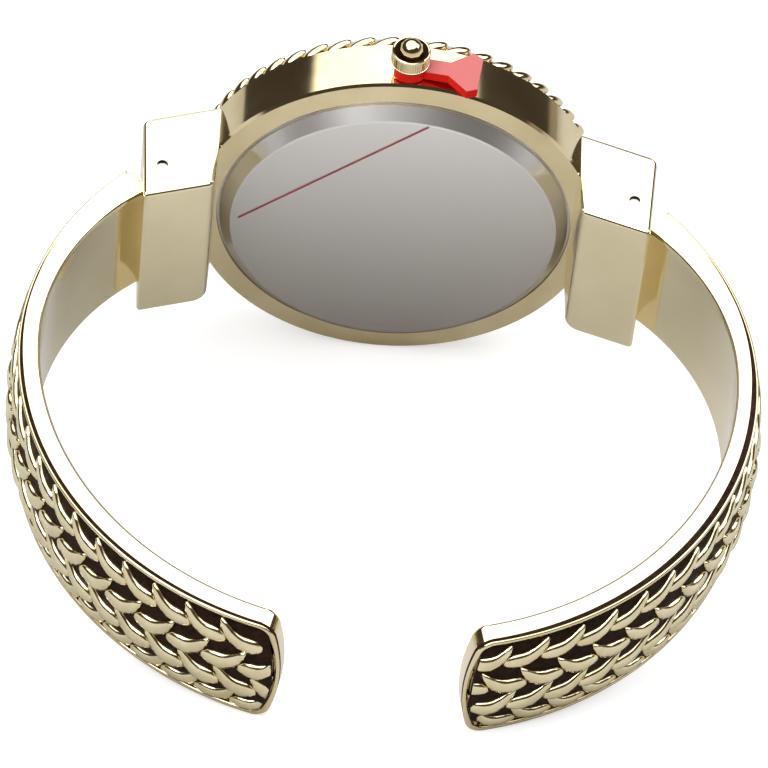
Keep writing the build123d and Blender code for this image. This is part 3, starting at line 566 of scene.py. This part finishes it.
def plate(steps, half, inset, near_rows, top_of, foot_of):
    """A closed plate in flat millimetres, from its rounded tip to the channel's end.

    Its first rows stand at near_rows from the tip and the rest evenly beyond them, and its
    columns are closest together near both sides.
    """
    work = bmesh.new()
    rows = steps[0] + len(near_rows) - 1
    bmesh.ops.create_grid(work, x_segments=rows, y_segments=steps[1], size=1.0)
    for vert in work.verts:
        row = grid_step(vert.co.x, rows)
        across = half * math.sin(vert.co.y * math.pi / 2)
        along = end_start(across, inset) + near_rows[min(row, len(near_rows) - 1)]
        along += (channel_length - along) * max(0, row - len(near_rows) + 1) / steps[0]
        vert.co = (along, across, top_of(across))
    under = bmesh.ops.extrude_face_region(work, geom=work.faces[:], use_keep_orig=True)
    for item in under["geom"]:
        if isinstance(item, bmesh.types.BMVert):
            item.co.z = foot_of(item.co.x, item.co.y)
    bmesh.ops.remove_doubles(work, verts=work.verts, dist=fine_weld)
    bmesh.ops.recalc_face_normals(work, faces=work.faces)
    for edge in work.edges:
        edge.smooth = not edge.is_manifold or edge.calc_face_angle() < crease
    return work


# %% [markdown]
# The band's inner face follows two arcs of its own, so the arm is thinnest near the widest place
# of the cuff and thickest towards its root. Its thickness comes from where a line straight
# through the arm meets the inner arc. Towards the sides and the tip, the inner face is rounded
# off, as it is polished where it touches the wrist.

# %% Band under the leaves
inner_x = 33.55
inner_y = -23.2
inner_upper_r = 23.8
inner_lower_r = 32.4
band_round = 0.4
band_steps = (110, 36)
tip_rows = (0.0, 0.03, 0.1, 0.2, 0.32, 0.5, 0.8, 1.2)


def thickness(along):
    """The arm's thickness some way along from its tip."""
    centre_x, radius, angle = arc_at(along)
    inner_r = inner_lower_r if along < lower_length else inner_upper_r
    outwards = Vector((math.cos(angle), math.sin(angle)))
    offset = Vector((centre_x, outer_y)) - Vector((inner_x - inner_r, inner_y))
    lean = offset.dot(outwards)
    return radius + lean - math.sqrt(lean ** 2 - offset.length_squared + inner_r ** 2)


def band_foot(along, across):
    """The band's inner face, rounded off towards its sides and its tip."""
    from_edge = min(arm_half - abs(across), along - end_start(across))
    short = min(1.0, max(0.0, 1 - from_edge / band_round))
    return band_round * (1 - math.sqrt(1 - short ** 2)) - thickness(max(along, 0.0))


for hand, body in cuffs:
    work = plate(band_steps, arm_half, 0.0, tip_rows, lambda across: -channel_depth, band_foot)
    print("open edges", len(rim(work)))
    for vert in work.verts:
        vert.co = on_arm(vert.co)
    band = finish_piece(work, body.replace("cuff", "band"), inner_gold_painted_paler, body, hand)
    print(band.name, len(band.data.polygons), "faces")

# %% [markdown]
# Antique finish is a dark brown paint that is wiped off the high places and stays in the low
# ones. It is almost black and hardly shines, so a very low specular level keeps it brown under
# the white ceiling. The same brown also stands for painted shade and a painted reflection in a
# few places below: under the rope, in the pin holes and along the rails.

# %% Antique paint, also used as painted shade
antique_shine = 0.05
# Real antique finish in the channel; painted shade and painted reflection elsewhere.
antique_and_shade = plastic("antique brown paint", dark=(0.008, 0.0038, 0.002), light=(0.032, 0.014, 0.007),
                  rough=0.5, grain=1400, grain_bump=0.030 * MM)
shader = antique_and_shade.node_tree.nodes["Principled BSDF"]
shader.inputs["Specular IOR Level"].default_value = antique_shine
print(antique_and_shade.name, "mixed")

# %% [markdown]
# One rounded rail runs down one side of the arm, round its tip and back up the other side. It
# could be a swept curve. Here a grid is bent instead: its length follows the path, and its
# width goes once round the section and closes on itself.

# %% Strip along the arm's edge
rail_steps = (110, 60)
rail_section = (  # in from the side, height
    (0.10, -0.45), (0.10, -0.27), (0.01, -0.22), (0.02, -0.10), (0.12, 0.0), (0.28, 0.02),
    (0.43, -0.02), (0.52, -0.10), (0.55, -0.45),
)


def rail_point(step, inset, end):
    """A point of the rail's path: down one side from its end, round the tip and back up."""
    side_steps, tip_steps = rail_steps
    half = arm_half - inset
    past = step - side_steps
    if 0 <= past <= tip_steps:
        across = half * math.cos(math.pi * past / tip_steps)
        return end_start(across, inset), across
    side_start = end_start(half, inset)
    share = -past / side_steps if past < 0 else (past - tip_steps) / side_steps
    return side_start + (end - side_start) * share, half if past < 0 else -half


def edging(section, end, height_at=lambda along, height: height):
    """A closed strip of this section that runs along the arm's edge, up to its end."""
    work = bmesh.new()
    path = 2 * rail_steps[0] + rail_steps[1]
    around = len(section)
    bmesh.ops.create_grid(work, x_segments=path, y_segments=around, size=1.0)
    for vert in work.verts:
        inset, height = section[grid_step(vert.co.y, around) % around]
        along, across = rail_point(grid_step(vert.co.x, path), inset, end)
        vert.co = on_arm((along, across, height_at(along, height)))
    bmesh.ops.remove_doubles(work, verts=work.verts, dist=weld)
    bmesh.ops.holes_fill(work, edges=rim(work), sides=0)
    return work


# %% [markdown]
# A brown line is laid on the arm's side, just under the rail, in the antique brown: it is a
# painted reflection of the dark walls in the rail's rounded edge. It is widest halfway along,
# narrow at the tip, and stops before it reaches the root, sooner on the left arm. It is a second
# strip, whose section is one unit high, so that a function can give it its width at each place.

# %% Rails and painted reflection lines
painted_reflection_section = (  # in from the side, share of the line's width
    (0.20, -1.0), (-0.01, -1.0), (-0.01, 0.0), (0.20, 0.0),
)
painted_reflection_top = -0.25
painted_reflection_tip_w = 0.24
painted_reflection_middle_w = {1: 0.55, -1: 0.32}
painted_reflection_lengths = {1: 63.0, -1: 58.0}
painted_reflection_fade_share = 0.3
painted_reflection_least_share = 0.04


def painted_reflection_height(hand):
    """A function for the line's heights: widest halfway along it, and faded out at its end."""
    def height_at(along, height):
        share = along / painted_reflection_lengths[hand]
        width = painted_reflection_tip_w + (painted_reflection_middle_w[hand] - painted_reflection_tip_w) * math.sin(math.pi * share)
        fade = min(1.0, painted_reflection_least_share + (1 - share) / painted_reflection_fade_share)
        return painted_reflection_top + height * width * fade
    return height_at


for hand, body in cuffs:
    rail = finish_piece(edging(rail_section, channel_length), body.replace("cuff", "rail"), gold,
                        body, hand)
    # The line under the rail is a painted reflection of the dark walls.
    line = finish_piece(edging(painted_reflection_section, painted_reflection_lengths[hand], painted_reflection_height(hand)),
                        body.replace("cuff", "rail_painted_reflection"), antique_and_shade, body, hand,
                        smooth=False)
    print(rail.name, len(rail.data.polygons), "faces;", line.name, "laid")

# %% [markdown]
# Where the channel ends, the arm goes on plain and narrows into the hinge. That root is right
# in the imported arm, hinge and all, so it isn't drawn again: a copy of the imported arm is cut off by
# a plane, a little inside the band. With its root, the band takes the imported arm's place.

# %% Root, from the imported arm
root_overlap = 0.3
for hand, body in cuffs:
    node = body.replace("cuff", "arm")
    work = bmesh.new()
    work.from_mesh(frame["nodes"][node].data)
    bmesh.ops.transform(work, matrix=watch.inverted(), verts=work.verts)
    bmesh.ops.remove_doubles(work, verts=work.verts, dist=weld)
    angle = channel_turn - root_overlap / upper_r
    towards_root = Vector((-hand * math.sin(angle), math.cos(angle), 0))
    bmesh.ops.bisect_plane(
        work, geom=work.verts[:] + work.edges[:] + work.faces[:], clear_inner=True,
        plane_co=(hand * (outer_x - upper_r), outer_y, 0), plane_no=towards_root)
    bmesh.ops.holes_fill(work, edges=rim(work), sides=0)
    root = finish_piece(work, body.replace("cuff", "root"), inner_gold_painted_paler, body,
                        smooth=False)
    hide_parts(node)
    print(root.name, len(root.data.polygons), "faces")

# %% [markdown]
# The antique paint lies over the whole floor of the channel, so the leaves stand out against
# brown. It is a thin plate, made as the band is, that follows the domed floor.

# %% Painted channel floor
paint_lift = 0.02
paint_h = 0.06
floor_steps = (100, 20)
for hand, body in cuffs:
    work = plate(floor_steps, channel_half, rail_w, (0.0,),
                 lambda across: floor_height(across) + paint_lift,
                 lambda along, across: floor_height(across) + paint_lift - paint_h)
    for vert in work.verts:
        vert.co = on_arm(vert.co)
    piece = finish_piece(work, body.replace("cuff", "channel_paint"), antique_and_shade, body,
                         hand)
    print(piece.name, len(piece.data.polygons), "faces")

# %% [markdown]
# A leaf is a comma: a round belly that lies along the arm, and a tail that turns up to the next
# column. Its grid follows a spine, with a half width and a height at each step: highest at the
# belly and lowest at both ends. It falls off to both sides, and its rim is drawn down into a
# skirt that is sunk in the floor, so the leaf is closed and casts a real shadow.

# %% Leaf
leaf_spine = (  # along, across, half width, height at the middle
    (-2.20, -0.88, 0.08, 0.28),
    (-1.93, -0.74, 0.53, 0.40),
    (-1.42, -0.60, 0.93, 0.51),
    (-0.75, -0.58, 1.04, 0.57),
    (0.00, -0.50, 0.98, 0.55),
    (0.70, -0.10, 0.80, 0.49),
    (1.25, 0.50, 0.57, 0.42),
    (1.72, 1.15, 0.36, 0.36),
    (2.15, 1.88, 0.10, 0.28),
)
leaf_rows = 4
edge_drop = 0.24
skirt_h = 0.62


def new_leaf():
    """A leaf in flat millimetres, its belly towards the start of X and its tail up Y."""
    work = bmesh.new()
    columns = len(leaf_spine) - 1
    bmesh.ops.create_grid(work, x_segments=columns, y_segments=leaf_rows, size=1.0)
    for vert in work.verts:
        step = grid_step(vert.co.x, columns)
        along, across, half, height = leaf_spine[step]
        before, after = leaf_spine[max(step - 1, 0)], leaf_spine[min(step + 1, columns)]
        run = Vector((after[0] - before[0], after[1] - before[1])).normalized()
        share = vert.co.y
        vert.co = (along - run.y * half * share, across + run.x * half * share,
                   height - edge_drop * share ** 2 * half)
    skirt = bmesh.ops.extrude_edge_only(work, edges=rim(work))
    low = [item for item in skirt["geom"] if isinstance(item, bmesh.types.BMVert)]
    bmesh.ops.translate(work, vec=(0, 0, -skirt_h), verts=low)
    bmesh.ops.contextual_create(work, geom=rim(work))
    return work


pattern = new_leaf()
leaf_mesh = bpy.data.meshes.new("one leaf")
pattern.to_mesh(leaf_mesh)
pattern.free()
print("leaf of", len(leaf_mesh.polygons), "faces")

# %% [markdown]
# Each arm has four columns of leaves. Every other column is the mirror image, so the columns
# lean to and fro, as in a plait. The columns start at different places along the arm, and on
# the two arms too, because regular rows would look like print.

# %% Columns of leaves
leaf_pitch = 3.7
column_pitch = 3.2
first_column = 4.3
end_room = 1.25
leaf_starts = {1: (1.2, -0.8, 1.95, -1.1), -1: (3.1, 0.9, -0.35, 1.65)}
leaf_width_shares = {1: 0.9, -1: 1.0}


def lay_columns(hand):
    """All leaves of one arm in flat millimetres; returns (bmesh, number of leaves)."""
    work = bmesh.new()
    leaves = 0
    for column, along in enumerate(leaf_starts[hand]):
        heading = 1 if column % 2 == 0 else -1
        across = first_column - column * column_pitch
        while along < channel_length - end_room:
            place = (Matrix.Translation((along, across, floor_height(across)))
                     @ Matrix.Diagonal((heading, leaf_width_shares[hand], 1, 1)))
            before = len(work.verts)
            work.from_mesh(leaf_mesh)
            work.verts.ensure_lookup_table()
            bmesh.ops.transform(work, matrix=place, verts=work.verts[before:])
            along += leaf_pitch
            leaves += 1
    return work, leaves


# %% [markdown]
# Leaves at the sides and at the ends would stick out over the rails. In the casting they run
# into the channel's wall, so here they are held inside it and dive as they come near it. Then
# the whole layer is bent onto the arm.

# %% Leaves pressed into the channel
edge_gap = 0.12
edge_fade = 1.3
edge_dive = 0.34
side_limit = channel_half - edge_gap
far_limit = channel_length - edge_gap
for hand, body in cuffs:
    work, leaves = lay_columns(hand)
    for vert in work.verts:
        vert.co.y = max(-side_limit, min(side_limit, vert.co.y))
        near_limit = end_start(vert.co.y, rail_w) + edge_gap
        vert.co.x = min(max(vert.co.x, near_limit), far_limit)
        from_edge = min(channel_half - abs(vert.co.y), vert.co.x - near_limit,
                        channel_length - vert.co.x)
        vert.co.z -= edge_dive * max(0.0, 1 - from_edge / edge_fade)
        vert.co = on_arm(vert.co)
    bmesh.ops.dissolve_degenerate(work, edges=work.edges, dist=weld)
    piece = finish_piece(work, body.replace("cuff", "leaves"), leaf_gold_worn_and_brightened, body, hand)
    print(piece.name, leaves, "leaves,", len(piece.data.polygons), "faces")
bpy.data.meshes.remove(leaf_mesh)

# %% [markdown]
# Rings and knobs are turned parts, so the outline of one side is spun round the axis, as on a
# lathe. A mirror-bright part needs rounded edges as well: they catch the light as thin lines.

# %% Turning and rounding
def turned_ring(outline, steps):
    """A bmesh ring, turned about the case axis from an outline of (radius, depth) points."""
    work = bmesh.new()
    corners = [work.verts.new((radius, depth, 0)) for radius, depth in outline]
    edges = [work.edges.new(pair) for pair in zip(corners, corners[1:] + corners[:1])]
    bmesh.ops.spin(work, geom=corners + edges, axis=(0, 1, 0), cent=(0, 0, 0),
                   angle=2 * math.pi, steps=steps, use_merge=True)
    bmesh.ops.remove_doubles(work, verts=work.verts, dist=fine_weld)
    bmesh.ops.recalc_face_normals(work, faces=work.faces)
    return work


def round_edges(work, edges, radius, steps):
    """Round these edges of a bmesh, in so many steps."""
    bmesh.ops.bevel(work, geom=edges, offset=radius, segments=steps, affect="EDGES",
                    profile=0.5, material=-1, clamp_overlap=False)


# %% [markdown]
# The bezel is edged like a rope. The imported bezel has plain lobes, so a turned ring takes its
# place, and the rope is laid round it in the next step. The facets that the turning leaves
# meet at small angles, so an angle tells the real edges from them.

# %% Bezel ring
bezel_bore_r = 17.15
bezel_seat_r = 18.5
case_side_h = 5.2
bezel_seat_h = 6.7
rope_seat_r = 19.4
rope_top_h = 6.1
bezel_face_r = 17.6
bezel_face_h = 8.2
bezel_round = 0.12
bezel_edge = math.radians(30)
turn_steps = 156
work = turned_ring((
    (bezel_bore_r, bezel_seat_h), (bezel_seat_r, bezel_seat_h), (bezel_seat_r, case_side_h),
    (rope_seat_r, case_side_h), (rope_seat_r, rope_top_h), (bezel_face_r, bezel_face_h),
    (bezel_bore_r, bezel_face_h),
), turn_steps)
sharp = [edge for edge in work.edges if edge.is_manifold and edge.calc_face_angle() > bezel_edge]
round_edges(work, sharp, bezel_round, steps=2)
ring = finish_piece(work, "bezel_ring", gold, "case")
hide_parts("bezel")
print(ring.name, len(ring.data.polygons), "faces")

# %% [markdown]
# Each lobe of the rope is a fat strand that lies aslant. A stretched, tilted ball looks the
# same as a twisted strand once its neighbours hide its ends, and 52 balls cost few faces.

# %% Rope strands
rope_lobes = 52
strand_half = (1.50, 0.58, 0.50)
strand_facets = (12, 8)
strand_slant = math.radians(26)
strand_r = 19.62
strand_h = 5.72
work = bmesh.new()
for lobe in range(rope_lobes):
    place = (Matrix.Rotation(2 * math.pi * lobe / rope_lobes, 4, "Y")
             @ Matrix.Translation((0, strand_h, strand_r))
             @ Matrix.Rotation(strand_slant, 4, "Z")
             @ Matrix.Diagonal((*strand_half, 1)))
    bmesh.ops.create_uvsphere(work, u_segments=strand_facets[0], v_segments=strand_facets[1],
                              radius=1.0, matrix=place)
strands = finish_piece(work, "bezel_rope", gold, "case")
print(strands.name, len(strands.data.polygons), "faces")

# %% [markdown]
# Painted shade lies where the rope meets the case. A thin oval bead of the antique brown, spun
# once round the case axis, shows as a dark line between the strands and the case's side.

# %% Painted shade under the rope
shade_bead_r = 19.78
shade_bead_h = 5.24
shade_bead_half = (0.17, 0.13)
shade_bead_sides = 10
# A dark bead as painted shade under the rope.
work = bmesh.new()
bmesh.ops.create_circle(work, segments=shade_bead_sides, radius=1.0)
bmesh.ops.scale(work, vec=(*shade_bead_half, 1), verts=work.verts)
bmesh.ops.translate(work, vec=(shade_bead_r, shade_bead_h, 0), verts=work.verts)
bmesh.ops.spin(work, geom=work.verts[:] + work.edges[:], axis=(0, 1, 0), cent=(0, 0, 0),
               angle=2 * math.pi, steps=turn_steps, use_merge=True)
shade_bead = finish_piece(work, "bezel_painted_shade", antique_and_shade, "case")
print(shade_bead.name, len(shade_bead.data.polygons), "faces")

# %% [markdown]
# Polishing softens the hinge blocks' outer edges, and each one mirrors the dark walls as a thin
# line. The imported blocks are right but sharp, so copies of them are bevelled. Only outer
# edges are picked: those in the arm's pocket, round the pin and inside the case stay sharp.

# %% Outer edges of a hinge block
pocket_half = 5.3
pin_hole_r = 0.6
case_reach = 17.95


def outer_edges(work, side):
    """The edges of a hinge block, in watch millimetres, that polishing has softened."""
    def hidden(vert):
        from_pin = math.hypot(vert.co.x - side * pin_reach, vert.co.y - pin_depth)
        return abs(vert.co.z) < pocket_half or from_pin < 2 * pin_hole_r

    return [edge for edge in work.edges
            if edge.is_convex and edge.calc_face_angle() > crease
            and not all(hidden(vert) for vert in edge.verts)
            and not all(abs(vert.co.x) < case_reach for vert in edge.verts)]


# %% [markdown]
# A imported mesh is loose triangles, so its copy is merged and its flat faces are joined before it
# is bevelled. The walls of the pin holes get the dark brown as a second material, as painted
# shade, and are known by being near the pin and upright. The rounded block then takes the
# imported one's place.

# %% Hinge blocks
block_round = 0.45
block_weld = 1e-3
flat_angle = math.radians(1)
wall_tilt = 0.5
for side, node in ((1, "right_hinge_block"), (-1, "left_hinge_block")):
    work = bmesh.new()
    work.from_mesh(frame["nodes"][node].data)
    bmesh.ops.transform(work, matrix=watch.inverted(), verts=work.verts)
    bmesh.ops.remove_doubles(work, verts=work.verts, dist=block_weld)
    bmesh.ops.dissolve_limit(work, angle_limit=flat_angle, verts=work.verts, edges=work.edges)
    bmesh.ops.recalc_face_normals(work, faces=work.faces)
    softened = outer_edges(work, side)
    round_edges(work, softened, block_round, steps=4)
    # The pin holes' walls take the dark brown as painted shade.
    for face in work.faces:
        middle = face.calc_center_median()
        from_pin = math.hypot(middle.x - side * pin_reach, middle.y - pin_depth)
        if from_pin < pin_hole_r and abs(face.normal.z) < wall_tilt:
            face.material_index = 1
    block = finish_piece(work, node.replace("hinge_block", "block"), block_gold_painted_paler, "case",
                         smooth=False)
    block.data.materials.append(antique_and_shade)
    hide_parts(node)
    print(block.name, len(softened), "edges rounded,", len(block.data.polygons), "faces")

# %% [markdown]
# The back still wears its clear film, a thin disc. It lies a hair above the steel, because two
# faces at the same place fight and leave a speckled patch.

# %% Clear film
film_r = 15.9
film_face = -1.36
film_foot = -1.31
film_sides = 96
work = bmesh.new()
bmesh.ops.create_circle(work, cap_ends=True, segments=film_sides, radius=film_r, matrix=(
    Matrix.Translation((0, film_foot, 0)) @ Matrix.Rotation(math.pi / 2, 4, "X")))
thick = bmesh.ops.extrude_face_region(work, geom=work.faces[:])
bmesh.ops.translate(work, vec=(0, film_face - film_foot, 0),
                    verts=[item for item in thick["geom"] if isinstance(item, bmesh.types.BMVert)])
film = finish_piece(work, "clear_film", film_clear, "case", smooth=False)
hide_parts("back_film")
print(film.name, len(film.data.polygons), "faces")

# %% [markdown]
# A thin red line is printed across the film. It is a long, flat box, laid from one end of the
# line to the other and turned to follow it.

# %% Red line on the film
print_ends = (Vector((-15.4, 0, 0.07)), Vector((2.35, 0, 15.7)))
print_w = 0.18
print_h = 0.02
red_print = plastic("red print on the film", dark=(0.34, 0.03, 0.02), light=(0.44, 0.05, 0.04),
                    rough=0.4, grain=900, grain_bump=0.002 * MM)
run = print_ends[1] - print_ends[0]
work = bmesh.new()
bmesh.ops.create_cube(work, size=1.0)
bmesh.ops.scale(work, vec=(run.length, print_h, print_w), verts=work.verts)
bmesh.ops.transform(work, verts=work.verts, matrix=(
    Matrix.Translation((print_ends[0] + print_ends[1]) / 2 + Vector((0, film_face, 0)))
    @ Matrix.Rotation(-math.atan2(run.z, run.x), 4, "Y")))
red_line = finish_piece(work, "film_line", red_print, "case", smooth=False)
print(red_line.name, round(run.length, 1), "mm long")

# %% [markdown]
# The crown is a fluted knob with a bright lip round a sunk dish. It is turned like the bezel,
# about the case axis, and stood on its own axis afterwards. The flutes are the turned sides,
# each inset and pushed in a little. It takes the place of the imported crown, whose flutes are
# plain notches.

# %% Crown knob
crown_y = 1.95
crown_r = 1.9
crown_foot_z = 21.45
crown_top_z = 23.05
foot_slope_w, foot_slope_h = 0.1, 0.12
lip_w, lip_h = 0.14, 0.22
lip_round = 0.06
lip_slope = 0.05
dish_r = 1.66
dish_z = 22.72
dish_slope = 0.05
bore_r = 1.12
bore_top_z = 22.2
stud_hole_r = 0.3
flute_margin = 0.035
flute_depth = 0.05
side_tilt = 0.05
crown_steps = 48


def on_crown(work):
    """Turn a bmesh made about the case axis so that it stands on the crown's axis."""
    bmesh.ops.transform(work, verts=work.verts, matrix=(
        Matrix.Translation((0, crown_y, 0)) @ Matrix.Rotation(math.pi / 2, 4, "X")))


def is_side(face):
    """Whether a face is part of the knob's upright outer wall."""
    middle = face.calc_center_median()
    from_axis = math.hypot(middle.x, middle.z)
    return abs(face.normal.y) < side_tilt and from_axis > crown_r - foot_slope_w


work = turned_ring((
    (bore_r, crown_foot_z), (crown_r - foot_slope_w, crown_foot_z),
    (crown_r, crown_foot_z + foot_slope_h), (crown_r, crown_top_z - lip_h),
    (crown_r - lip_round, crown_top_z - lip_round), (crown_r - lip_w, crown_top_z),
    (dish_r, crown_top_z - lip_slope), (dish_r - dish_slope, dish_z),
    (stud_hole_r, dish_z), (stud_hole_r, bore_top_z), (bore_r, bore_top_z),
), crown_steps)
sides = [face for face in work.faces if is_side(face)]
bmesh.ops.inset_individual(work, faces=sides, thickness=flute_margin, depth=-flute_depth)
on_crown(work)
crown = finish_piece(work, "crown_knob", gold, "crown_set", smooth=False)
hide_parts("crown")
print(crown.name, len(sides), "flutes")

# %% [markdown]
# The dish is painted dark brown, and the paint climbs a little up its wall. It is a flat ring with
# a raised rim, which leaves a gap to the wall, so that no two faces lie in one place.

# %% Paint in the crown's dish
dish_paint_r = 1.0
dish_paint_sink = 0.02
dish_paint_h = 0.03
dish_paint_climb = 0.14
foot_gap, rim_gap, face_gap = 0.06, 0.03, 0.08
paint_ring = turned_ring((
    (dish_paint_r, dish_z - dish_paint_sink), (dish_r - foot_gap, dish_z - dish_paint_sink),
    (dish_r - rim_gap, dish_z + dish_paint_climb), (dish_r - face_gap, dish_z + dish_paint_h),
    (dish_paint_r, dish_z + dish_paint_h),
), crown_steps)
on_crown(paint_ring)
dish_paint = finish_piece(paint_ring, "crown_dish_paint", antique_and_shade, "crown_set")
print(dish_paint.name, len(dish_paint.data.polygons), "faces")

# %% [markdown]
# A domed stud, cut in facets, stands in the dish. It is a stretched ball with few sides, whose
# lower part is cut away by a plane and closed.

# %% Stud in the crown
stud_r = 1.22
stud_z = 22.9
stud_rise = 1.32
stud_sink = 0.1
stud_facets = (10, 12)
work = bmesh.new()
bmesh.ops.create_uvsphere(
    work, u_segments=stud_facets[0], v_segments=stud_facets[1], radius=stud_r, matrix=(
        Matrix.Translation((0, crown_y, stud_z)) @ Matrix.Diagonal((1, 1, stud_rise / stud_r, 1))))
bmesh.ops.bisect_plane(work, geom=work.verts[:] + work.edges[:] + work.faces[:],
                       plane_co=(0, crown_y, stud_z - stud_sink), plane_no=(0, 0, 1),
                       clear_inner=True)
bmesh.ops.contextual_create(work, geom=rim(work))
stud = finish_piece(work, "crown_stud", gold, "crown_set")
print(stud.name, len(stud.data.polygons), "faces")
